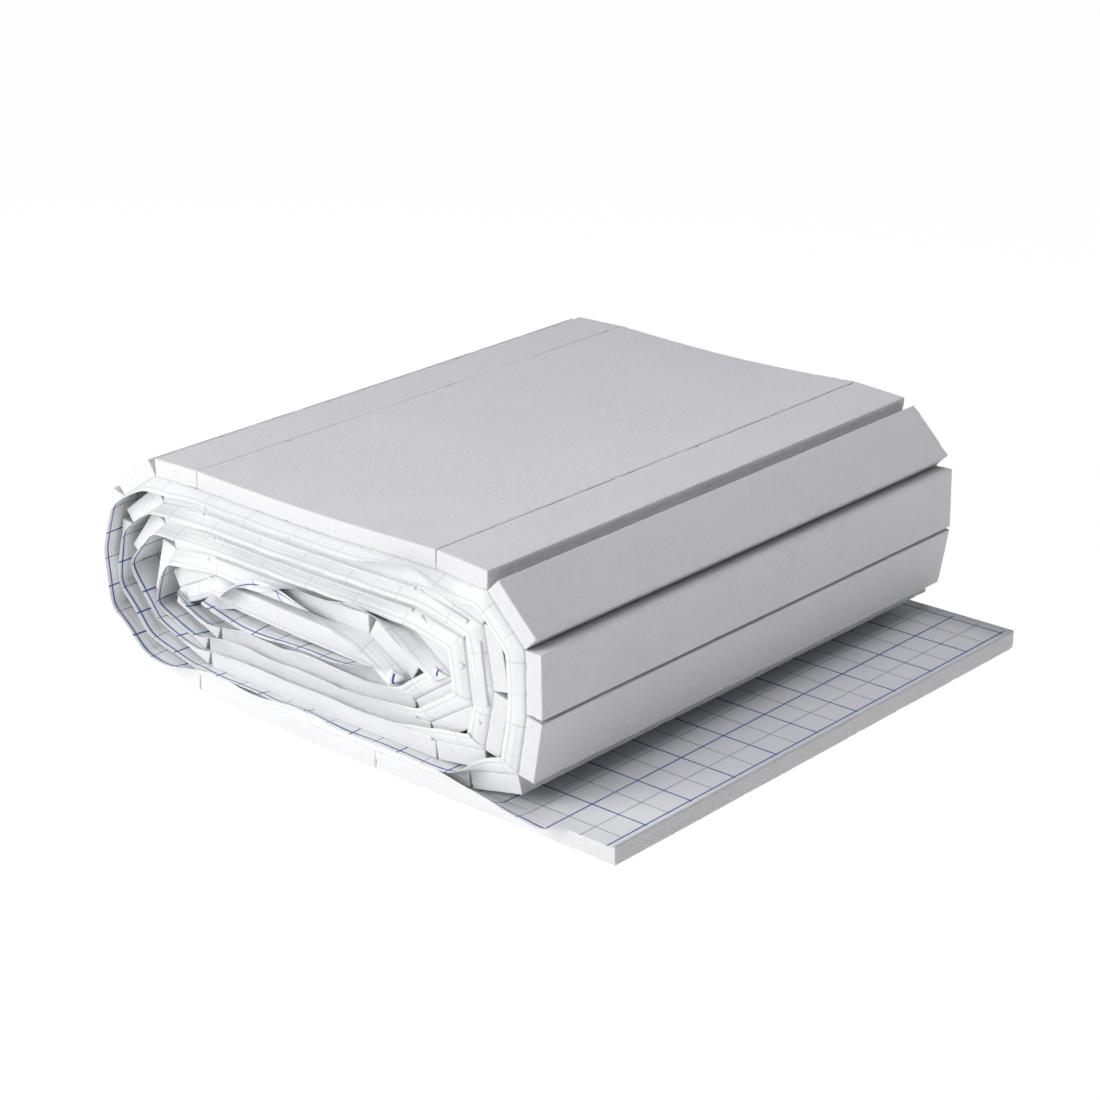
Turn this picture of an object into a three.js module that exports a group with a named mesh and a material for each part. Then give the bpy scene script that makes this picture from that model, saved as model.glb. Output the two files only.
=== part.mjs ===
// Underfloor heating tacker board: a foam board on a printed film, wound into a flat roll that lies on
// its own loose tail. Millimetres, +Z up. X runs along the winding and Y across the board's width.
// The film is on the inside of the winding. The foam is slit through to the film, so it is a row of
// separate slabs that the film holds together: long panels on the flats and short strips in the bends.
import * as THREE from 'three';

// The board
const boardWidth = 1000;
const boardThickness = 30;
const filmThickness = 0.4;
const filmOverlap = 30; // film that stands past the board's front edge, to lap the next board
const clearance = 0.3; // between foam and film, on both sides of the film
const slitWidth = 1;
const stripLength = 100; // slit to slit in a bend

// The winding
const turnCount = 5;
const coreGap = 50; // film to film across the middle of the roll
const tailEndPanel = 477; // outer end of the board to its first slit
const tailPanel = 398; // from there to the outer left bend
const outerTopPanel = 516; // the uncut panel that shows on top
const foldHeight = 8; // rise of the one strip that folds the last panel back over the innermost bottom
const innerEndGap = 5; // inner end of the board to the last bend that it lies against

// Degrees that the board turns at each slit of a bend, in winding order, from the outer turn inwards.
// They are shares of a half turn: a bend that has to be taller or lower turns more at its ends or at
// its middle.
const leftBendTurns = [
  [6, 29, 48, 27, 40, 29, 1],
  [14, 36, 48, 42, 33, 7],
  [20, 41, 62, 49, 8],
  [24, 76, 70, 10],
  [30, 110, 40],
];
const rightBendTurns = [
  [4, 42, 44, 10, 67, 13],
  [14, 65, 24, 69, 8],
  [12, 70, 68, 30],
  [34, 112, 34],
  [30, 150],
];
const foldTurns = [10, 170]; // the fold at the board's inner end, inside the innermost left bend

const foamColour = 0xf1f1ef;
const filmColour = 0xdfe2e6;

const layerPitch = boardThickness + filmThickness + 2 * clearance;
const leftwards = Math.PI; // the two level headings, in radians
const rightwards = 0;
const nestingSlack = 0.01; // keeps a level panel just off the level film that it lies on

const pointAt = (x, z) => new THREE.Vector2(x, z);

// Every piece of the winding is seen in the XZ plane. The board runs from its outer end to the left,
// up, to the right, down, and so on inwards, so the foam is always on the left of its heading.
const along = (heading) => pointAt(Math.cos(heading), Math.sin(heading));
const outward = (heading) => pointAt(-Math.sin(heading), Math.cos(heading));
const moved = (point, direction, distance) => point.clone().addScaledVector(direction, distance);

// The heading of each strip in a bend of the given height. The shares give the bend's form, and its
// strips then lean closer to upright or to level, in the same order, until the height is right.
function bendHeadings(firstHeading, height, shares) {
  const upright = firstHeading - Math.PI / 2;
  const total = shares.reduce((sum, share) => sum + share, 0);
  let turned = 0;
  const leans = shares.slice(0, -1).map((share) => {
    turned += share;
    return 1 - (2 * turned) / total; // 1 is level at the bend's start, 0 upright, -1 level at its end
  });
  if (leans.length === 1) {
    return [firstHeading - Math.asin(Math.min(1, height / stripLength))];
  }
  const headingsFor = (power) =>
    leans.map((lean) => upright + Math.sign(lean) * Math.abs(lean) ** power * (Math.PI / 2));
  const heightOf = (headings) =>
    Math.abs(headings.reduce((sum, heading) => sum + stripLength * Math.sin(heading), 0));
  let [low, high] = [0, 20];
  for (let step = 0; step < 60; step += 1) {
    const middle = (low + high) / 2;
    if (heightOf(headingsFor(middle)) < height) low = middle;
    else high = middle;
  }
  return headingsFor(low);
}

// The film line through a bend, from its first slit to its last, with the first slit at x = 0.
function makeBend(firstHeading, startLevel, endLevel, shares) {
  const headings = bendHeadings(firstHeading, Math.abs(endLevel - startLevel), shares);
  const points = [pointAt(0, startLevel)];
  headings.forEach((heading) => points.push(moved(points.at(-1), along(heading), stripLength)));
  points.at(-1).y = endLevel;
  return { firstHeading, headings, points, lastHeading: firstHeading - Math.PI };
}

function shiftBend(bend, distance) {
  bend.points.forEach((point) => point.setX(point.x + distance));
  return bend;
}

// The outer corners of a bend's strips and of the two panels that it joins.
function outerCorners(bend) {
  const reach = clearance + boardThickness;
  const corners = bend.headings.flatMap((heading, strip) => [
    moved(bend.points[strip], outward(heading), reach),
    moved(bend.points[strip + 1], outward(heading), reach),
  ]);
  corners.push(moved(bend.points[0], outward(bend.firstHeading), reach));
  corners.push(moved(bend.points.at(-1), outward(bend.lastHeading), reach));
  return corners;
}

// The line that the next turn's foam may reach inside a bend: the film's inner face, and a clearance.
function innerLimit(bend) {
  const inset = filmThickness + clearance - nestingSlack;
  const headings = [bend.firstHeading, ...bend.headings, bend.lastHeading];
  const flat = 10 * stripLength; // enough of the panels on both sides
  const line = bend.points.map((point, slit) => {
    const half = (headings[slit] - headings[slit + 1]) / 2;
    const bisector = outward(headings[slit] - half);
    return moved(point, bisector, -inset / Math.cos(half));
  });
  line.unshift(moved(line[0], along(bend.firstHeading), -flat));
  line.push(moved(line.at(-1), along(bend.lastHeading), flat));
  return line;
}

// How far along X that line lets foam reach at a level. The side is 1 for a right bend, -1 for a left one.
function reachAt(line, level, side) {
  const crossings = [];
  for (let slit = 0; slit + 1 < line.length; slit += 1) {
    const [from, to] = [line[slit], line[slit + 1]];
    const share = (level - from.y) / (to.y - from.y);
    if (from.y !== to.y && share >= 0 && share <= 1) crossings.push(from.x + share * (to.x - from.x));
  }
  return side > 0 ? Math.min(...crossings) : Math.max(...crossings);
}

// Moves a bend along X to lie close inside the same side's bend of the turn before.
function nestBend(bend, outerBend, side) {
  const line = innerLimit(outerBend);
  const rooms = outerCorners(bend).map((corner) => reachAt(line, corner.y, side) - corner.x);
  return shiftBend(bend, side > 0 ? Math.min(...rooms) : Math.max(...rooms));
}

// The whole film line with the name of the foam slab on each stretch of it, from the outer end inwards.
function windBoard() {
  const stretches = [];
  let end = pointAt(tailEndPanel + tailPanel, 0);
  const addStretch = (name, heading, to) => {
    stretches.push({ name, heading, from: end.clone(), to: to.clone() });
    end = to.clone();
  };
  const addBend = (name, bend) =>
    bend.headings.forEach((heading, strip) =>
      addStretch(`${name}_strip_${strip + 1}`, heading, bend.points[strip + 1]));

  addStretch('tail_end_panel', leftwards, pointAt(tailPanel, 0));
  addStretch('tail_panel', leftwards, pointAt(0, 0));
  const topLevel = (2 * turnCount - 1) * layerPitch + coreGap;
  let leftBend = makeBend(leftwards, 0, topLevel, leftBendTurns[0]);
  addBend('left_bend_1', leftBend);
  let rightBend = makeBend(rightwards, topLevel, layerPitch, rightBendTurns[0]);
  shiftBend(rightBend, end.x + outerTopPanel);
  addStretch('top_panel_1', rightwards, rightBend.points[0]);
  addBend('right_bend_1', rightBend);
  for (let turn = 2; turn <= turnCount; turn += 1) {
    const top = topLevel - (turn - 1) * layerPitch;
    const bottom = turn * layerPitch;
    leftBend = nestBend(makeBend(leftwards, end.y, top, leftBendTurns[turn - 1]), leftBend, -1);
    addStretch(`bottom_panel_${turn - 1}`, leftwards, leftBend.points[0]);
    addBend(`left_bend_${turn}`, leftBend);
    rightBend = nestBend(makeBend(rightwards, top, bottom, rightBendTurns[turn - 1]), rightBend, 1);
    addStretch(`top_panel_${turn}`, rightwards, rightBend.points[0]);
    addBend(`right_bend_${turn}`, rightBend);
  }
  const fold = nestBend(makeBend(leftwards, end.y, end.y + foldHeight, foldTurns), leftBend, -1);
  addStretch(`bottom_panel_${turnCount}`, leftwards, fold.points[0]);
  addBend(`left_bend_${turnCount + 1}`, fold);
  const foamTop = end.y + clearance + boardThickness;
  const innerEnd = reachAt(innerLimit(rightBend), foamTop, 1) - innerEndGap;
  addStretch('inner_end_panel', rightwards, pointAt(innerEnd, end.y));
  return stretches;
}

// A foam slab: a square-cut block on the outer side of its stretch of film.
function makeSlab({ name, heading, from, to }) {
  const length = from.distanceTo(to) - slitWidth;
  const block = new THREE.BoxGeometry(length, boardWidth, boardThickness);
  const foam = new THREE.MeshStandardMaterial({ color: foamColour, roughness: 0.9, metalness: 0 });
  const slab = new THREE.Mesh(block, foam);
  const middle = moved(from.clone().lerp(to, 0.5), outward(heading), clearance + boardThickness / 2);
  slab.position.set(middle.x, boardWidth / 2, middle.y);
  slab.rotation.y = -heading;
  slab.name = name;
  return slab;
}

// The film: one long ribbon on the inner side of all the slabs, folded at every slit.
function makeFilm(stretches) {
  const outerFace = [stretches[0].from, ...stretches.map((stretch) => stretch.to)];
  const innerFace = outerFace.map((point, slit) => {
    const before = stretches[Math.max(slit - 1, 0)].heading;
    const after = stretches[Math.min(slit, stretches.length - 1)].heading;
    const half = THREE.MathUtils.euclideanModulo(before - after, 2 * Math.PI) / 2;
    return moved(point, outward(before - half), -filmThickness / Math.cos(half));
  });
  const section = new THREE.Shape([...outerFace, ...innerFace.reverse()]);
  const ribbon = new THREE.ExtrudeGeometry(section, {
    depth: boardWidth + filmOverlap,
    bevelEnabled: false,
  });
  ribbon.rotateX(Math.PI / 2); // the section's plane becomes XZ, and its depth runs towards -Y
  ribbon.translate(0, boardWidth, 0);
  const film = new THREE.MeshStandardMaterial({ color: filmColour, roughness: 0.45, metalness: 0 });
  const mesh = new THREE.Mesh(ribbon, film);
  mesh.name = 'film';
  return mesh;
}

const winding = new THREE.Group();
const stretches = windBoard();
stretches.forEach((stretch) => winding.add(makeSlab(stretch)));
winding.add(makeFilm(stretches));

// The origin is on the floor, under the middle of the whole object.
const bounds = new THREE.Box3().setFromObject(winding);
const centre = bounds.getCenter(new THREE.Vector3());
winding.position.set(-centre.x, -centre.y, -bounds.min.z);

const tackerBoard = new THREE.Group();
tackerBoard.add(winding);

export default tackerBoard;
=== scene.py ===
import math

import bpy
import numpy as np
from mathutils import Matrix, Vector
from mathutils import noise as mathNoise


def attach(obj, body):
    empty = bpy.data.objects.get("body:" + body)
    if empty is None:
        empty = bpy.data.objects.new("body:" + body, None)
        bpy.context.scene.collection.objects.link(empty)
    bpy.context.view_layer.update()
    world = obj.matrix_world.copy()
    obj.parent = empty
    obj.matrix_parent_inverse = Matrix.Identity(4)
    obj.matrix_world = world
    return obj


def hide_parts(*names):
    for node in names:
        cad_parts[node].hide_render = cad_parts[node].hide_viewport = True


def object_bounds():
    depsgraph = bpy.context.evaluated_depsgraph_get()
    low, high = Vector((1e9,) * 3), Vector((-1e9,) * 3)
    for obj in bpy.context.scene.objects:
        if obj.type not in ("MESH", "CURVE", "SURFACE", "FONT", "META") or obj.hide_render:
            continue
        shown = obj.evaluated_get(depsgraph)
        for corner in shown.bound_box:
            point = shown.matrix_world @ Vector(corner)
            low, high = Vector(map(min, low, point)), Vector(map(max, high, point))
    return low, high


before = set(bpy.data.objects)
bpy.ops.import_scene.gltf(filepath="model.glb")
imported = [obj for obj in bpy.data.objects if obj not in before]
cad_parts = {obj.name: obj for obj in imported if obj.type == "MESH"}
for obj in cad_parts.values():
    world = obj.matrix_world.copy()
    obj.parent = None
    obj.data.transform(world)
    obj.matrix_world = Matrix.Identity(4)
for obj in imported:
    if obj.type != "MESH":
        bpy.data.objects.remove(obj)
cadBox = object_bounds()

mm = 0.001
board = dict(turns=5, nearEdge=-485 * mm, farEdge=515 * mm, overlap=30 * mm, slit=1 * mm)


# Camera, floor and light

cameraSettings = dict(
    place=(2704.46 * mm, -2952.53 * mm, 1751.18 * mm),
    azimuth=42.644, elevation=21.291, roll=-0.995,  # degrees
    lens=86.88, sensor=36.0,
)
floorSettings = dict(size=30.0, colour=(0.05, 0.05, 0.05), glow=0.97)
worldSettings = dict(colour=(1.0, 1.0, 1.0), strength=0.08)
lightSettings = dict(
    keyFromFront=dict(place=(-1.5, -3.7, 2.1), size=2.6, power=112, colour=(1.0, 1.0, 1.0)),
    lowFront=dict(place=(-0.5, -4.2, 0.8), size=2.4, power=22, colour=(1.0, 1.0, 1.0)),
    softTop=dict(place=(0.6, 0.1, 3.6), size=3.0, power=61, colour=(0.94, 0.925, 1.0)),
    fillFromLeft=dict(place=(-3.6, 0.4, 2.0), size=2.6, power=3, colour=(1.0, 1.0, 1.0)),
)


def addCamera():
    s = cameraSettings
    az, el, roll = (math.radians(s[k]) for k in ("azimuth", "elevation", "roll"))
    forward = Vector((-math.sin(az) * math.cos(el), math.cos(az) * math.cos(el), -math.sin(el)))
    right = Vector((math.cos(az), math.sin(az), 0))
    up = right.cross(forward)
    tilted = math.cos(roll) * right + math.sin(roll) * up
    upright = -math.sin(roll) * right + math.cos(roll) * up
    data = bpy.data.cameras.new("camera")
    data.lens, data.sensor_width = s["lens"], s["sensor"]
    camera = bpy.data.objects.new("camera", data)
    bpy.context.scene.collection.objects.link(camera)
    turn = Matrix((tilted, upright, -forward)).transposed().to_4x4()
    camera.matrix_world = Matrix.Translation(s["place"]) @ turn
    bpy.context.scene.camera = camera


def addFloor():
    half = floorSettings["size"] / 2
    mesh = bpy.data.meshes.new("floor")
    corners = [(-half, -half, 0), (half, -half, 0), (half, half, 0), (-half, half, 0)]
    mesh.from_pydata(corners, [], [(0, 1, 2, 3)])
    floor = bpy.data.objects.new("floor", mesh)
    bpy.context.scene.collection.objects.link(floor)
    material = bpy.data.materials.new("paleFloor")
    material.use_nodes = True
    shader = material.node_tree.nodes["Principled BSDF"]
    shader.inputs["Base Color"].default_value = (*floorSettings["colour"], 1)
    shader.inputs["Roughness"].default_value = 0.8
    shader.inputs["Emission Color"].default_value = (1, 1, 1, 1)
    shader.inputs["Emission Strength"].default_value = floorSettings["glow"]
    mesh.materials.append(material)


def addLights():
    world = bpy.data.worlds.new("studio")
    world.use_nodes = True
    background = world.node_tree.nodes["Background"]
    background.inputs["Color"].default_value = (*worldSettings["colour"], 1)
    background.inputs["Strength"].default_value = worldSettings["strength"]
    bpy.context.scene.world = world
    for name, s in lightSettings.items():
        data = bpy.data.lights.new(name, "AREA")
        data.shape, data.size, data.energy = "DISK", s["size"], s["power"]
        data.color = s["colour"]
        lamp = bpy.data.objects.new(name, data)
        lamp.location = s["place"]
        lamp.rotation_mode = "QUATERNION"
        lamp.rotation_quaternion = (Vector((0, 0, 0.15)) - lamp.location).to_track_quat("-Z", "Y")
        bpy.context.scene.collection.objects.link(lamp)
    bpy.context.scene.view_settings.view_transform = "Standard"


# Node helpers

def newMaterial(name):
    material = bpy.data.materials.new(name)
    material.use_nodes = True
    tree = material.node_tree
    return material, tree, tree.nodes["Principled BSDF"]


def addNode(tree, kind, inputs=None, **settings):
    node = tree.nodes.new(kind)
    for key, value in settings.items():
        setattr(node, key, value)
    for key, value in (inputs or {}).items():
        if isinstance(value, bpy.types.NodeSocket):
            tree.links.new(value, node.inputs[key])
        else:
            node.inputs[key].default_value = value
    return node


def mathNode(tree, operation, *values):
    return addNode(tree, "ShaderNodeMath", dict(enumerate(values)), operation=operation).outputs[0]


def stretchRange(tree, value, fromMin, fromMax, toMin=0.0, toMax=1.0):
    node = addNode(tree, "ShaderNodeMapRange", dict(enumerate((value, fromMin, fromMax, toMin, toMax))))
    return node.outputs[0]


def mixColours(tree, share, first, second):
    return addNode(tree, "ShaderNodeMix", {0: share, 6: first, 7: second}, data_type="RGBA").outputs[2]


def noiseNode(tree, place, scale, detail):
    return addNode(tree, "ShaderNodeTexNoise", dict(Vector=place, Scale=scale, Detail=detail)).outputs["Fac"]


def bump(tree, height, distance, strength=1.0, before=None):
    inputs = dict(Height=height, Distance=distance, Strength=strength)
    if before is not None:
        inputs["Normal"] = before
    return addNode(tree, "ShaderNodeBump", inputs).outputs[0]


# White bead foam: fused beads that show as faint cells, and rougher where the board was slit

foamLook = dict(
    # the pit colour is painted shade: a darker grey for the shade that falls inside the pits
    colour=(0.80, 0.80, 0.81, 1), beadShade=(0.74, 0.74, 0.755, 1), paintedPitShade=(0.62, 0.62, 0.64, 1),
    beadsPerMetre=230, pitsPerMetre=38.0, grainsPerMetre=900.0, patchesPerMetre=9.0,
    pitDepth=0.5 * mm, paintedPitShadeAmount=0.35, grainDepth=0.12 * mm, shine=0.3,
)
foamFaces = dict(  # the moulded skin, and the faces that a blade opened
    skin=dict(name="foamSkin", seamDepth=0.22 * mm, roughness=0.75, seed=0.0),
    cut=dict(name="foamCut", seamDepth=0.66 * mm, roughness=0.9, seed=2.0),
)


def foamMaterial(name, seamDepth, roughness, seed):
    material, tree, shader = newMaterial(name)
    s = foamLook
    place = addNode(tree, "ShaderNodeTexCoord").outputs["Object"]
    shift = (seed, 0.37 * seed, 0.11)
    place = addNode(tree, "ShaderNodeMapping", dict(Vector=place, Location=shift)).outputs[0]
    beads = dict(Vector=place, Scale=s["beadsPerMetre"])
    cells = addNode(tree, "ShaderNodeTexVoronoi", beads, feature="DISTANCE_TO_EDGE").outputs["Distance"]
    shades = addNode(tree, "ShaderNodeTexVoronoi", beads).outputs["Color"]
    beadShade = addNode(tree, "ShaderNodeSeparateColor", {0: shades}).outputs[0]
    patches = noiseNode(tree, place, s["patchesPerMetre"], 3.0)
    grain = noiseNode(tree, place, s["grainsPerMetre"], 2.0)
    pitNode = addNode(tree, "ShaderNodeTexVoronoi", dict(Vector=place, Scale=s["pitsPerMetre"]))
    shadeShare = mathNode(tree, "MULTIPLY", beadShade, stretchRange(tree, patches, 0.35, 0.7, 0.15, 0.8))
    colour = mixColours(tree, shadeShare, s["colour"], s["beadShade"])
    level = stretchRange(tree, pitNode.outputs["Distance"], 0.05, 0.11)  # 0 in a pit, 1 around it
    # painted shade: each pit is mixed towards the darker pit colour, as shade in the hollow
    paintedPitShadeShare = mathNode(tree, "MULTIPLY", mathNode(tree, "SUBTRACT", 1.0, level), s["paintedPitShadeAmount"])
    colour = mixColours(tree, paintedPitShadeShare, colour, s["paintedPitShade"])
    tree.links.new(colour, shader.inputs["Base Color"])
    normal = bump(tree, stretchRange(tree, cells, 0.0, 0.16), seamDepth)
    normal = bump(tree, level, s["pitDepth"], 1.0, normal)
    normal = bump(tree, grain, s["grainDepth"], 0.6, normal)
    tree.links.new(normal, shader.inputs["Normal"])
    shader.inputs["Roughness"].default_value = roughness
    shader.inputs["Specular IOR Level"].default_value = s["shine"]
    return material


# The printed film: blue lines 50 mm apart, every other one dashed, on the inner side of the winding.
# The film's own map has metres along the board in U and metres from the foam's near edge in V.

printLook = dict(
    film=(0.86, 0.873, 0.88, 1), ink=(0.004, 0.07, 0.38, 1), dashedInk=(0.012, 0.024, 0.11, 1),
    pitch=50 * mm, firstAcross=11 * mm, firstLengthwise=27.5 * mm,
    solidWidth=2.9 * mm, dashedWidth=2.0 * mm, dashPitch=4.6 * mm, dashShare=0.6,
    printedTo=987 * mm, showThrough=0.30, throughInk=(0.36, 0.42, 0.52, 1),
    blotsPerMetre=22.0, threadsPerMetre=160.0, threadDepth=0.04 * mm, dentsPerMetre=55.0, dentDepth=0.4 * mm,
    creasesPerMetre=(9.0, 130.0, 1.0), creaseDepth=2.2 * mm, creasedTo=4 * mm, roughness=0.45, shine=0.45,
)


def lineShares(tree, position, other, first, solidIsEven):
    # the solid and the dashed lines at one position, as two masks
    s = printLook
    step = mathNode(tree, "DIVIDE", mathNode(tree, "SUBTRACT", position, first), s["pitch"])
    nearest = mathNode(tree, "ROUND", step)
    stepsOff = mathNode(tree, "ABSOLUTE", mathNode(tree, "SUBTRACT", step, nearest))
    off = mathNode(tree, "MULTIPLY", stepsOff, s["pitch"])
    odd = mathNode(tree, "ABSOLUTE", mathNode(tree, "MODULO", nearest, 2.0))
    even = mathNode(tree, "SUBTRACT", 1.0, odd)
    solidTurn, dashedTurn = (even, odd) if solidIsEven else (odd, even)
    solid = stretchRange(tree, off, s["solidWidth"] * 0.42, s["solidWidth"] * 0.56, 1.0, 0.0)
    dashed = stretchRange(tree, off, s["dashedWidth"] * 0.42, s["dashedWidth"] * 0.56, 1.0, 0.0)
    dash = mathNode(tree, "FRACT", mathNode(tree, "DIVIDE", other, s["dashPitch"]))
    dash = mathNode(tree, "LESS_THAN", dash, s["dashShare"])
    dashed = mathNode(tree, "MULTIPLY", dashed, dash)
    return mathNode(tree, "MULTIPLY", solid, solidTurn), mathNode(tree, "MULTIPLY", dashed, dashedTurn)


def filmRelief(tree, sheetMap, across):
    # woven threads and shallow dents all over, and creases on the loose edge
    s = printLook
    weave = dict(Vector=sheetMap, Scale=s["threadsPerMetre"], Distortion=1.5)
    warp, weft = (addNode(tree, "ShaderNodeTexWave", weave, bands_direction=d).outputs["Fac"] for d in "XY")
    threads = mathNode(tree, "MULTIPLY", warp, weft)
    dents = noiseNode(tree, sheetMap, s["dentsPerMetre"], 3.0)
    stretched = addNode(tree, "ShaderNodeMapping", dict(Vector=sheetMap, Scale=s["creasesPerMetre"]))
    loose = mathNode(tree, "LESS_THAN", across, s["creasedTo"])
    creases = mathNode(tree, "MULTIPLY", noiseNode(tree, stretched.outputs[0], 1.0, 2.0), loose)
    normal = bump(tree, threads, s["threadDepth"], 0.6)
    normal = bump(tree, dents, s["dentDepth"], 0.5, normal)
    return bump(tree, creases, s["creaseDepth"], 0.8, normal)


def filmMaterial(name, printed):
    material, tree, shader = newMaterial(name)
    s = printLook
    sheetMap = addNode(tree, "ShaderNodeUVMap", uv_map="sheet").outputs[0]
    parts = addNode(tree, "ShaderNodeSeparateXYZ", {0: sheetMap})
    along, across = parts.outputs[0], parts.outputs[1]
    acrossSolid, acrossDashed = lineShares(tree, along, across, s["firstAcross"], True)
    lengthSolid, lengthDashed = lineShares(tree, across, along, s["firstLengthwise"], False)
    onPrint = mathNode(tree, "LESS_THAN", across, s["printedTo"])
    afterStart = mathNode(tree, "GREATER_THAN", along, s["firstAcross"] - s["solidWidth"])
    acrossSolid = mathNode(tree, "MULTIPLY", acrossSolid, onPrint)
    acrossDashed = mathNode(tree, "MULTIPLY", acrossDashed, onPrint)
    lengthSolid = mathNode(tree, "MULTIPLY", lengthSolid, afterStart)
    lengthDashed = mathNode(tree, "MULTIPLY", lengthDashed, afterStart)
    solid = mathNode(tree, "MAXIMUM", acrossSolid, lengthSolid)
    dashed = mathNode(tree, "MAXIMUM", acrossDashed, lengthDashed)
    wear = stretchRange(tree, noiseNode(tree, sheetMap, s["blotsPerMetre"], 3.0), 0.3, 0.6, 0.86, 1.0)
    if printed:
        colour = mixColours(tree, mathNode(tree, "MULTIPLY", dashed, wear), s["film"], s["dashedInk"])
        colour = mixColours(tree, mathNode(tree, "MULTIPLY", solid, wear), colour, s["ink"])
    else:
        seen = mathNode(tree, "MULTIPLY", mathNode(tree, "MAXIMUM", solid, dashed), s["showThrough"])
        colour = mixColours(tree, mathNode(tree, "MULTIPLY", seen, wear), s["film"], s["throughInk"])
    tree.links.new(colour, shader.inputs["Base Color"])
    tree.links.new(filmRelief(tree, sheetMap, across), shader.inputs["Normal"])
    shader.inputs["Roughness"].default_value = s["roughness"]
    shader.inputs["Specular IOR Level"].default_value = s["shine"]
    return material


# The winding, read back from the solids: each slab's place, heading and size, in winding order

def windingNames():
    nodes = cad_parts
    names = ["tail_end_panel", "tail_panel"]
    for turn in range(1, board["turns"] + 1):
        for side, panel in (("left", "top"), ("right", "bottom")):
            strips = [n for n in nodes if n.startswith(f"{side}_bend_{turn}_strip_")]
            names += sorted(strips, key=lambda n: int(n.split("_")[-1]))
            names.append(f"{panel}_panel_{turn}")
    names += [n for n in nodes if n.startswith(f"left_bend_{board['turns'] + 1}_strip_")]
    names.append("inner_end_panel")
    return names


def sectionCorners(name):
    seen = {}
    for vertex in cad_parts[name].data.vertices:
        seen[(round(vertex.co.x, 5), round(vertex.co.z, 5))] = (vertex.co.x, vertex.co.z)
    return np.array(list(seen.values()))


def readWinding():
    names = windingNames()
    corners = [sectionCorners(n) for n in names]
    centres = [c.mean(0) for c in corners]
    slabs = []
    travelled = 0.0
    for i, name in enumerate(names):
        travel = centres[min(i + 1, len(names) - 1)] - centres[max(i - 1, 0)]
        if name == "inner_end_panel":
            travel = centres[i] - corners[i - 1][corners[i - 1][:, 0].argmin()]
        quad = corners[i] - centres[i]
        # from one corner to the others: the thickness, the length and the diagonal
        sides = sorted((quad[k] - quad[0] for k in range(1, 4)), key=np.linalg.norm)
        ahead = sides[1] / np.linalg.norm(sides[1])
        if ahead @ travel < 0:
            ahead = -ahead
        out = np.array((-ahead[1], ahead[0]))
        length, thickness = float(np.linalg.norm(sides[1])), float(np.linalg.norm(sides[0]))
        slabs.append(dict(name=name, centre=centres[i], ahead=ahead, out=out, length=length,
                          thickness=thickness, start=travelled))
        travelled += length + board["slit"]
    return slabs


# How the roll settles under its own weight: the left end arches off the floor, the top sags, the inner
# turns have slid out a little towards the near end, and the inner end panel has dropped at its free end

settling = dict(
    liftFrom=-50 * mm, liftTo=-345 * mm, lift=13 * mm, liftPower=1.6, liftLimit=1.3,
    topFrom=-304 * mm, topTo=211 * mm, sag=5 * mm, farSag=3 * mm, farRise=3 * mm,
    sagFrom=190 * mm, sagPower=1.5,
    slideFrom=2.8, slidePerMetre=4.3 * mm, foldRise=8 * mm, freeEndDrop=5 * mm,
)


def settle(points, along, slabs):
    s = settling
    x, y, z = points[:, 0], points[:, 1], points[:, 2]
    top = cadBox[1][2]
    depth = np.clip(1 - z / top, 0, 1)
    reach = np.clip((s["liftFrom"] - x) / (s["liftFrom"] - s["liftTo"]), 0, s["liftLimit"])
    rise = s["lift"] * reach ** s["liftPower"] * depth
    span = np.clip((x - s["topFrom"]) / (s["topTo"] - s["topFrom"]), 0, 1)
    far = np.clip((y - board["nearEdge"]) / (board["farEdge"] - board["nearEdge"]), 0, 1)
    share = np.clip((z - s["sagFrom"]) / (top - s["sagFrom"]), 0, 1) ** s["sagPower"]
    bow = np.sin(np.pi * span)
    rise += share * (s["farRise"] * far ** 2 - (s["sag"] + s["farSag"] * far ** 2) * bow)
    fold, last = slabs[-2], slabs[-1]
    turns = (fold["start"], last["start"], last["start"] + last["length"])
    rise += np.interp(along, turns, (0, s["foldRise"], -s["freeEndDrop"]))
    settled = points.copy()
    settled[:, 1] -= np.maximum(along - s["slideFrom"], 0) * s["slidePerMetre"]
    settled[:, 2] += rise
    return settled


def noiseAt(points, scale, seed):
    return np.array([mathNoise.noise(Vector(p) * scale + Vector((seed, 1.7 * seed, -seed))) for p in points])


def makeObject(name, vertices, faces, materials, materialNumbers):
    mesh = bpy.data.meshes.new(name)
    mesh.from_pydata(vertices.tolist(), [], faces.tolist())
    for material in materials:
        mesh.materials.append(material)
    mesh.polygons.foreach_set("use_smooth", np.ones(len(mesh.polygons), bool))
    mesh.polygons.foreach_set("material_index", materialNumbers)
    mesh.update()
    piece = bpy.data.objects.new(name, mesh)
    bpy.context.scene.collection.objects.link(piece)
    return piece


# Foam slabs: each slab again, with soft worn edges, slow waves and nicked arrises

slabSettings = dict(
    edgeRadius=1.3 * mm, slitClosing=0.42 * mm, fineCell=8 * mm, coarseCell=30 * mm, depthCell=8 * mm,
    wavesPerMetre=7.0, waviness=0.5 * mm,
    nicksPerMetre=75.0, smallNicksPerMetre=190.0, nickFrom=0.33, nickDepth=1.44 * mm,
)


def latticeSteps(length, cell, radius):
    half = length / 2
    inner = half - 2.6 * radius
    count = max(2, int(round(2 * inner / cell)))
    middle = np.linspace(-inner, inner, count + 1)
    return np.concatenate(([-half, -half + radius], middle, [half - radius, half]))


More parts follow.
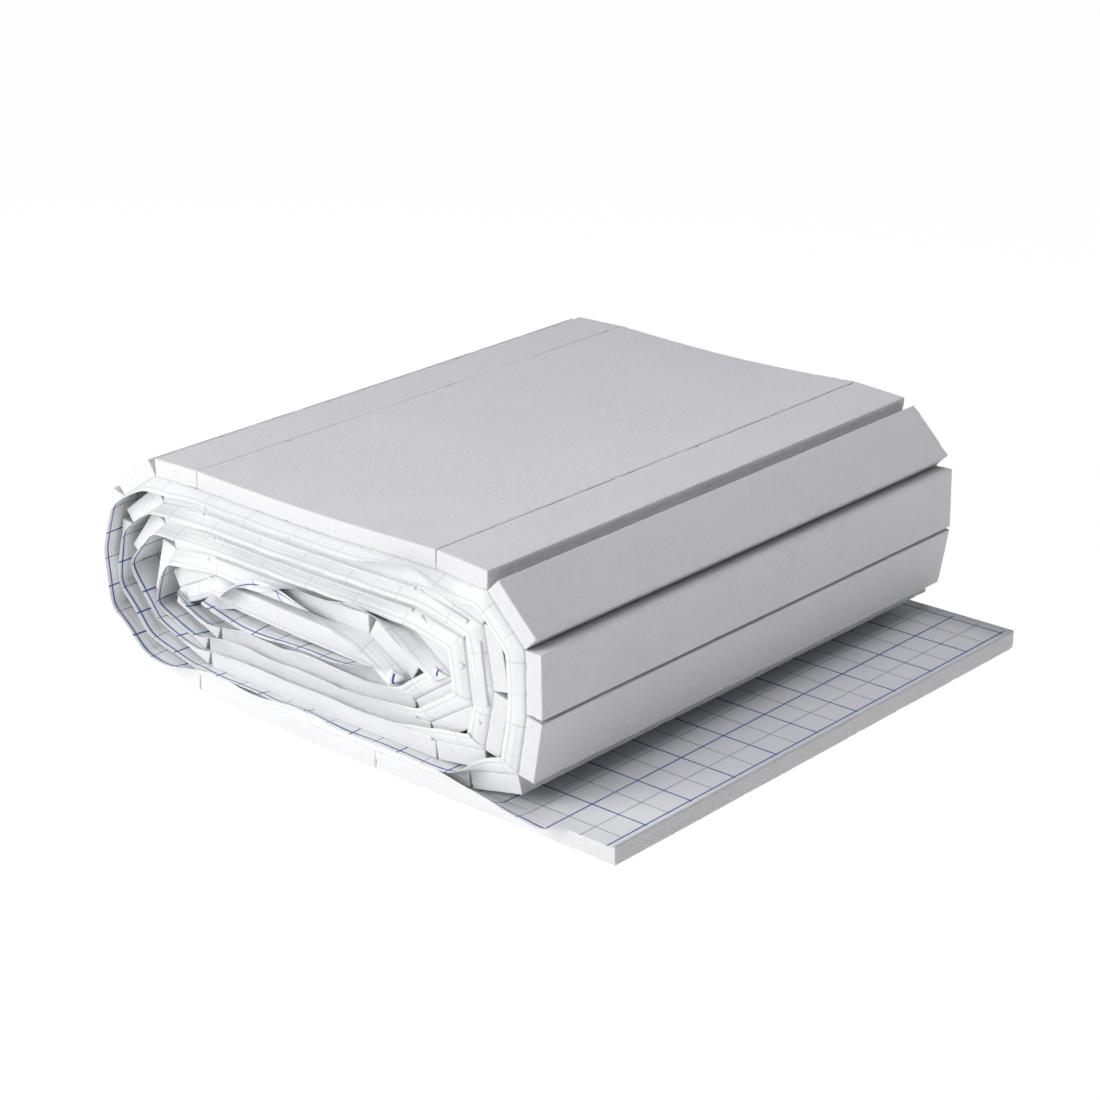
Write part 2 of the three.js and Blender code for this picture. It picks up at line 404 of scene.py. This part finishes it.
def boxLattice(steps):
    # the closed surface of a lattice with these steps on its three axes
    counts = [len(s) for s in steps]
    index = -np.ones(counts, int)
    onSurface = np.zeros(counts, bool)
    for axis in range(3):
        for end in (0, -1):
            onSurface[tuple(end if a == axis else slice(None) for a in range(3))] = True
    index[onSurface] = np.arange(onSurface.sum())
    where = np.argwhere(onSurface)
    vertices = np.stack([steps[a][where[:, a]] for a in range(3)], 1)
    faces = []
    for axis in range(3):
        for end in (0, -1):
            sheet = index[tuple(end if a == axis else slice(None) for a in range(3))]
            quads = np.stack([sheet[:-1, :-1], sheet[1:, :-1], sheet[1:, 1:], sheet[:-1, 1:]], -1)
            flip = (end == 0) != (axis == 1)
            faces.append(quads.reshape(-1, 4)[:, ::-1] if flip else quads.reshape(-1, 4))
    return vertices, np.concatenate(faces)


def wornAway(local, sizes, number):
    # how far each vertex moves: in at a nick on an arris, and in or out with the slab's slow waves
    s = slabSettings
    band = sizes / 2 - 1.5 * s["edgeRadius"]
    edges = (np.abs(local) > band).sum(1) >= 2
    nick = np.zeros(len(local))
    nick[edges] = noiseAt(local[edges], s["nicksPerMetre"], 3.1 * number)
    nick[edges] += 0.5 * noiseAt(local[edges], s["smallNicksPerMetre"], 5.3 * number)
    depth = np.clip((nick - s["nickFrom"]) / 0.5, 0, 1) * s["nickDepth"]
    worn = -np.sign(local) * (np.abs(local) > sizes / 2 - 2 * s["edgeRadius"]) * depth[:, None]
    swell = noiseAt(local, s["wavesPerMetre"], 0.9 * number) * s["waviness"]
    worn[:, 2] += swell * (np.abs(local[:, 2]) > band[2])
    return worn


def makeSlab(slabs, number, fine, materials):
    s, slab = slabSettings, slabs[number]
    radius = s["edgeRadius"]
    cell = s["fineCell"] if fine else s["coarseCell"]
    width = board["farEdge"] - board["nearEdge"]
    sizes = np.array((slab["length"] + 2 * s["slitClosing"], width, slab["thickness"]))
    cells = (cell, cell, s["depthCell"])
    local, faces = boxLattice([latticeSteps(size, c, radius) for size, c in zip(sizes, cells)])
    core = np.clip(local, -(sizes / 2 - radius), sizes / 2 - radius)
    away = local - core
    reach = np.linalg.norm(away, axis=1, keepdims=True)
    normal = away / np.maximum(reach, 1e-9)
    rounded = core + radius * normal
    if fine:
        rounded += wornAway(local, sizes, number)
    ahead, out, centre = slab["ahead"], slab["out"], slab["centre"]
    middle = (board["farEdge"] + board["nearEdge"]) / 2
    points = np.stack([
        centre[0] + rounded[:, 0] * ahead[0] + rounded[:, 2] * out[0],
        middle + rounded[:, 1],
        centre[1] + rounded[:, 0] * ahead[1] + rounded[:, 2] * out[1],
    ], 1)
    if ahead[0] * out[1] - ahead[1] * out[0] < 0:
        faces = faces[:, ::-1]
    ends = np.abs(local[faces].mean(1)[:, 0]) > sizes[0] / 2 - 0.5 * radius
    along = slab["start"] + (slab["length"] + board["slit"]) / 2 + rounded[:, 0]
    settled = settle(points, along, slabs)
    piece = makeObject("foam_" + slab["name"], settled, faces, materials, ends.astype(int))
    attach(piece, "root")
    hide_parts(slab["name"])


def isOuter(name):
    return name.startswith(("tail", "left_bend_1", "right_bend_1", "top_panel_1"))


# The film: one sheet along the whole winding, glued to the foam, with its near edge loose

filmSettings = dict(
    offset=0.5 * mm, thickness=0.25 * mm, step=5 * mm, parallel=1e-3,
    # rows across the board, in mm from the foam's near edge
    acrossSteps=(1000, 940, 860, 760, 660, 560, 460, 360, 260, 180, 110, 60, 28, 10, 0),
)
looseEdge = dict(
    rows=8, curvePoints=24, rootSmoothing=2 * mm, tipSmoothing=14 * mm, leanSmoothing=5.0,  # in rows
    wander=9.0, wandersPerMetre=9.0, ripple=1.6 * mm, ripplesPerMetre=22.0, seed=11.0,
    trimmedShare=0.15, trimmedTo=85 * mm, fullFrom=125 * mm, fullTo=20 * mm, trimmedFrom=60 * mm,
)

# Lean of the loose edge by share of each slab's length, in degrees: at its root, and what is added up to
# its tip. Plus is towards the film's printed side. A name without a number is for all its turns.
flapLeans = {
    "tail_end_panel": [(0.0, -4, -6), (0.22, 0, -4), (0.42, 12, 8), (0.52, 28, 20), (0.83, 43, 34)],
    "tail_panel": [(0.17, 48, 38), (0.42, 44, 34), (0.95, 36, 28)],
    "left_bend": [(0.5, 2, 0)],
    "left_bend_1_strip_5": [(0.5, 10, 12)],
    "left_bend_1_strip_6": [(0.5, 26, 30)],
    "left_bend_2_strip_5": [(0.3, 14, 16), (0.8, 30, 30)],
    "left_bend_3_strip_4": [(0.3, 14, 16), (0.8, 30, 30)],
    "left_bend_4_strip_3": [(0.2, 30, 30), (0.8, 58, 50)],
    "left_bend_5_strip_2": [(0.2, 30, 50), (0.8, 78, 70)],
    "left_bend_6_strip_1": [(0.5, 2, -4)],
    "right_bend": [(0.5, 52, 40)],
    "top_panel_1": [(0.0, 8, 8), (0.3, 14, 12), (0.6, 16, 12), (0.8, 6, 2), (1.0, -10, -10)],
    "top_panel": [(0.2, 20, 22), (0.8, 22, 26)],
    "top_panel_4": [(0.0, 56, 46), (0.15, 46, 40), (0.32, 20, 16), (0.45, -20, -14), (0.85, -30, -20),
                    (1.0, 10, 10)],
    "top_panel_5": [(0.0, 60, 60), (0.12, 30, 20), (0.28, -60, -44), (0.5, -46, -34), (0.72, -24, -14),
                    (0.88, 0, 4), (1.0, 20, 20)],
    "bottom_panel_1": [(0.0, -4, -4), (0.3, 2, 0), (0.5, 10, 4), (0.75, 6, 2), (1.0, 2, 0)],
    "bottom_panel": [(0.1, 30, 10), (0.5, 31, 12), (0.9, 30, 10)],
    "bottom_panel_5": [(0.0, 24, 12), (0.35, 12, 2), (0.6, 2, -6), (1.0, -6, -10)],
    "inner_end_panel": [(0.0, 0, 10), (0.15, 20, 20), (1.0, 20, 20)],
}


def leansOf(name):
    return flapLeans.get(name) or flapLeans["_".join(name.split("_")[:2])]


def crossing(firstPoint, firstAhead, secondPoint, secondAhead):
    # where two lines of the film meet, or the second line's start where they are parallel
    turn = firstAhead[1] * secondAhead[0] - firstAhead[0] * secondAhead[1]
    if abs(turn) < filmSettings["parallel"]:
        return secondPoint
    between = secondPoint - firstPoint
    return firstPoint + firstAhead * ((between[1] * secondAhead[0] - between[0] * secondAhead[1]) / turn)


def filmFolds(slabs):
    # the film's line in the XZ plane: its outer end, the fold at each slit and its inner end
    lines = []
    for slab in slabs:
        start = slab["centre"] - slab["ahead"] * (slab["length"] + board["slit"]) / 2
        lines.append((start - slab["out"] * (slab["thickness"] / 2 + filmSettings["offset"]), slab["ahead"]))
    folds = [lines[0][0]]
    folds += [crossing(*line, *following) for line, following in zip(lines, lines[1:])]
    folds.append(folds[-1] + slabs[-1]["ahead"] * (slabs[-1]["length"] + board["slit"]))
    return folds


def filmPath(slabs):
    # evenly spaced rows along the film: distance, point, outward normal and the loose edge's two angles
    folds = filmFolds(slabs)
    along, points, outs, controls = [], [], [], []
    travelled = 0.0
    for number, slab in enumerate(slabs):
        length = slab["length"] + board["slit"]
        for share, root, tip in leansOf(slab["name"]):
            controls.append((travelled + share * length, root, tip))
        count = max(2, int(round(length / filmSettings["step"])))
        isLast = number == len(slabs) - 1
        for row in range(count + isLast):
            along.append(travelled + row / count * length)
            points.append(folds[number] + (folds[number + 1] - folds[number]) * (row / count))
            outs.append(slab["out"])
        travelled += length
    controls = np.array(controls)
    lean = np.stack([np.interp(along, controls[:, 0], controls[:, k]) for k in (1, 2)], 1)
    return np.array(along), np.array(points), np.array(outs), lean, travelled


def smoothed(values, widthInRows):
    # a running bell-shaped mean along the rows, with the ends held
    if widthInRows < 0.3:
        return values
    reach = int(math.ceil(3 * widthInRows))
    weights = np.exp(-0.5 * (np.arange(-reach, reach + 1) / widthInRows) ** 2)
    weights /= weights.sum()
    padded = np.concatenate([np.repeat(values[:1], reach, 0), values, np.repeat(values[-1:], reach, 0)])
    return np.stack([np.convolve(padded[:, k], weights, "valid") for k in range(values.shape[1])], 1)


def trimmed(along, lastStart):
    # the loose edge is nearly gone at the corner of the tail's end and along the inner end panel
    s = looseEdge
    places = (s["trimmedTo"], s["fullFrom"], lastStart + s["fullTo"], lastStart + s["trimmedFrom"])
    return np.interp(along, places, (s["trimmedShare"], 1.0, 1.0, s["trimmedShare"]))


def noiseAlong(along, scale, second, third):
    return np.array([mathNoise.noise(Vector((u * scale, second, third))) for u in along])


def looseRow(reach, along, point, out, lean, share):
    # one row of the loose edge, at this distance from the foam along the curve that the film takes
    s = looseEdge
    part = reach / board["overlap"]
    width = (s["rootSmoothing"] + (s["tipSmoothing"] - s["rootSmoothing"]) * part) / filmSettings["step"]
    base = smoothed(point, width)
    normal = smoothed(out, width)
    normal /= np.linalg.norm(normal, axis=1, keepdims=True)
    outwards, sideways = np.zeros(len(along)), np.zeros(len(along))
    for k in range(s["curvePoints"]):
        angle = lean[:, 0] + lean[:, 1] * ((k + 0.5) / s["curvePoints"] * part)
        outwards += np.cos(angle) * reach / s["curvePoints"]
        sideways += np.sin(angle) * reach / s["curvePoints"]
    sideways += noiseAlong(along, s["ripplesPerMetre"], reach * 30, s["seed"] + 4) * s["ripple"] * part
    inner = -normal * (share * sideways)[:, None]
    y = board["nearEdge"] - share * outwards
    return np.stack([base[:, 0] + inner[:, 0], y, base[:, 1] + inner[:, 1]], 1)


def makeFilm(slabs):
    s = filmSettings
    along, point, out, lean, length = filmPath(slabs)
    count = len(along)
    wander = noiseAlong(along, looseEdge["wandersPerMetre"], looseEdge["seed"], 0.0) * looseEdge["wander"]
    lean = np.radians(smoothed(lean, looseEdge["leanSmoothing"]) + wander[:, None])
    rows, across = [], []
    for distance in s["acrossSteps"]:
        y = np.full(count, board["nearEdge"] + distance * mm)
        rows.append(np.stack([point[:, 0], y, point[:, 1]], 1))
        across.append(np.full(count, distance * mm))
    share = trimmed(along, slabs[-1]["start"])
    for row in range(1, looseEdge["rows"] + 1):
        reach = board["overlap"] * row / looseEdge["rows"]
        rows.append(looseRow(reach, along, point, out, lean, share))
        across.append(-reach * share)
    columns = len(rows)
    vertices = settle(np.concatenate(rows), np.tile(along, columns), slabs)
    grid = np.arange(columns * count).reshape(columns, count)
    faces = np.stack([grid[:-1, :-1], grid[:-1, 1:], grid[1:, 1:], grid[1:, :-1]], -1).reshape(-1, 4)
    sides = [filmMaterial("filmPrintedSide", True), filmMaterial("filmPlainSide", False)]
    piece = makeObject("printed_film", vertices, faces, sides, np.zeros(len(faces), int))
    sheetMap = piece.data.uv_layers.new(name="sheet")
    mapped = np.stack([np.tile(along, columns), np.concatenate(across)], 1)
    loops = np.zeros(len(piece.data.loops), int)
    piece.data.loops.foreach_get("vertex_index", loops)
    sheetMap.data.foreach_set("uv", mapped[loops].astype(np.float32).ravel())
    solid = piece.modifiers.new("thickness", "SOLIDIFY")
    solid.thickness, solid.offset = s["thickness"], 0.0
    solid.material_offset = 1
    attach(piece, "root")
    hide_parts("film")
    print("film length", round(length, 3), "m,", len(faces), "faces")
    return piece, length


# Torn beads along the open groove between the second and the third strip of the outer right bend

beadSettings = dict(
    strip="right_bend_1_strip_3", shallow=0.5 * mm, deep=13 * mm, sunk=0.2 * mm, endMargin=4 * mm,
    beadsPerSquareMetre=70000.0, bead=1.5 * mm, smallest=(0.5, 0.5, 0.4), largest=(1.25, 1.25, 0.9), seed=5,
)


def grooveFace(slabs):
    # the slit face of the strip below the groove, as the one face that the beads are spread on
    s = beadSettings
    slab = next(one for one in slabs if one["name"] == s["strip"])
    end = slab["centre"] - slab["ahead"] * (slab["length"] / 2 - s["sunk"])
    outer, inner = (end + slab["out"] * (slab["thickness"] / 2 - d) for d in (s["shallow"], s["deep"]))
    near, far = board["nearEdge"] + s["endMargin"], board["farEdge"] - s["endMargin"]
    corners = [(outer[0], near, outer[1]), (outer[0], far, outer[1]), (inner[0], far, inner[1]),
               (inner[0], near, inner[1])]
    mesh = bpy.data.meshes.new("grooveFace")
    mesh.from_pydata(corners, [], [(0, 1, 2, 3)])
    face = bpy.data.objects.new("grooveFace", mesh)
    bpy.context.scene.collection.objects.link(face)
    return face


def beadTree(material):
    # spreads squashed beads over a face; returns the tree and its inputs' socket identifiers by name
    s = beadSettings
    tree = bpy.data.node_groups.new("tornBeads", "GeometryNodeTree")
    tree.interface.new_socket("Geometry", in_out="INPUT", socket_type="NodeSocketGeometry")
    inputs = {}
    for name, kind in (("Density", "Float"), ("Bead size", "Float"), ("Seed", "Int")):
        socket = tree.interface.new_socket(name, in_out="INPUT", socket_type="NodeSocket" + kind)
        inputs[name] = socket.identifier
    tree.interface.new_socket("Geometry", in_out="OUTPUT", socket_type="NodeSocketGeometry")
    given = tree.nodes.new("NodeGroupInput").outputs
    points = addNode(tree, "GeometryNodeDistributePointsOnFaces",
                     {"Mesh": given["Geometry"], "Density": given["Density"], "Seed": given["Seed"]})
    bead = addNode(tree, "GeometryNodeMeshIcoSphere", {"Radius": given["Bead size"], "Subdivisions": 2})
    spread = {"Min": s["smallest"], "Max": s["largest"], "Seed": given["Seed"]}
    sizes = addNode(tree, "FunctionNodeRandomValue", spread, data_type="FLOAT_VECTOR")
    beads = addNode(tree, "GeometryNodeInstanceOnPoints",
                    {"Points": points.outputs["Points"], "Instance": bead.outputs["Mesh"],
                     "Rotation": points.outputs["Rotation"], "Scale": sizes.outputs["Value"]})
    real = addNode(tree, "GeometryNodeRealizeInstances", {"Geometry": beads.outputs["Instances"]})
    dressed = addNode(tree, "GeometryNodeSetMaterial",
                      {"Geometry": real.outputs["Geometry"], "Material": material})
    addNode(tree, "NodeGroupOutput", {"Geometry": dressed.outputs["Geometry"]})
    return tree, inputs


def makeTornBeads(slabs, material):
    face = grooveFace(slabs)
    tree, inputs = beadTree(material)
    modifier = face.modifiers.new("tornBeads", "NODES")
    modifier.node_group = tree
    modifier[inputs["Density"]] = beadSettings["beadsPerSquareMetre"]
    modifier[inputs["Bead size"]] = beadSettings["bead"]
    modifier[inputs["Seed"]] = beadSettings["seed"]
    shaped = bpy.data.meshes.new_from_object(face.evaluated_get(bpy.context.evaluated_depsgraph_get()))
    bpy.data.objects.remove(face)
    piece = bpy.data.objects.new("torn_beads", shaped)
    bpy.context.scene.collection.objects.link(piece)
    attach(piece, "root")
    print("torn beads", len(shaped.polygons), "faces")


print("camera, floor and light")
addCamera()
addFloor()
addLights()

print("foam slabs")
slabs = readWinding()
skin = foamMaterial(**foamFaces["skin"])
cut = foamMaterial(**foamFaces["cut"])
for number, slab in enumerate(slabs):
    makeSlab(slabs, number, isOuter(slab["name"]), [skin, cut])
makeTornBeads(slabs, cut)

print("film")
film, filmLength = makeFilm(slabs)
